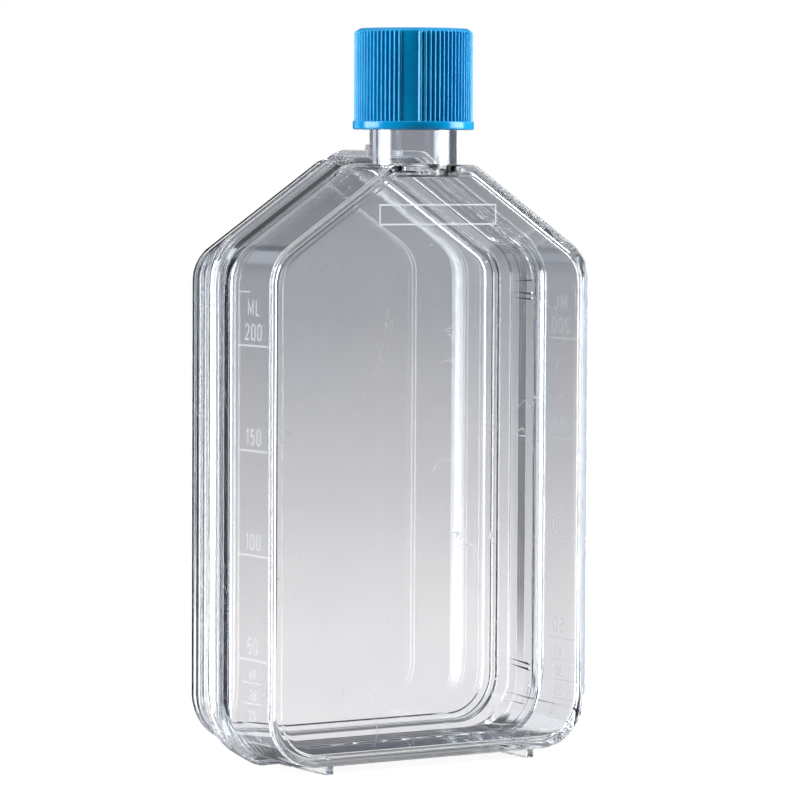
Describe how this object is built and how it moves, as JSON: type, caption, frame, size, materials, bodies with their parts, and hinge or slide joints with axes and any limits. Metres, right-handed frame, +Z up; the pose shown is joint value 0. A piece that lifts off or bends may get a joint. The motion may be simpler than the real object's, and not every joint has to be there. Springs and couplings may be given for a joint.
{
  "type": "cell culture flask",
  "caption": "Clear rectangular cell culture flask with canted shoulders, a round neck, raised filling marks, stacking ridges and a ribbed blue screw cap with a seal.",
  "frame": {"origin": "on the surface that the flask stands on, under the middle of its overall width and depth, cap included", "axes": "+Z up along the neck, +X to the right seen from the front, +Y from the front face (the one nearest the neck) to the rear face that cells grow on"},
  "size_m": [0.0856, 0.0404, 0.1565],
  "materials": {
    "clear_polystyrene": "clear, polished",
    "blue_polyethylene": "semi-gloss, moulded",
    "white_seal": "matt foam"
  },
  "bodies": {
    "flask": {"front_shell": "clear_polystyrene", "rear_shell": "clear_polystyrene"},
    "seal": {"cap_seal": "white_seal"},
    "cap": {"screw_cap": "blue_polyethylene"}
  },
  "joints": [
    {"name": "cap_lift", "type": "slide", "parent": "flask", "child": "seal", "axis": [0, 0, 1], "range_m": [0, 0.006]},
    {"name": "cap_turn", "type": "hinge", "parent": "seal", "child": "cap", "pos_m": [0, -0.0073, 0.145], "axis": [0, 0, 1], "range_deg": [0, 540]}
  ],
  "couplings": [
    {"joint": "cap_lift", "follows": "cap_turn", "m_per_rad": 0.00063662}
  ]
}
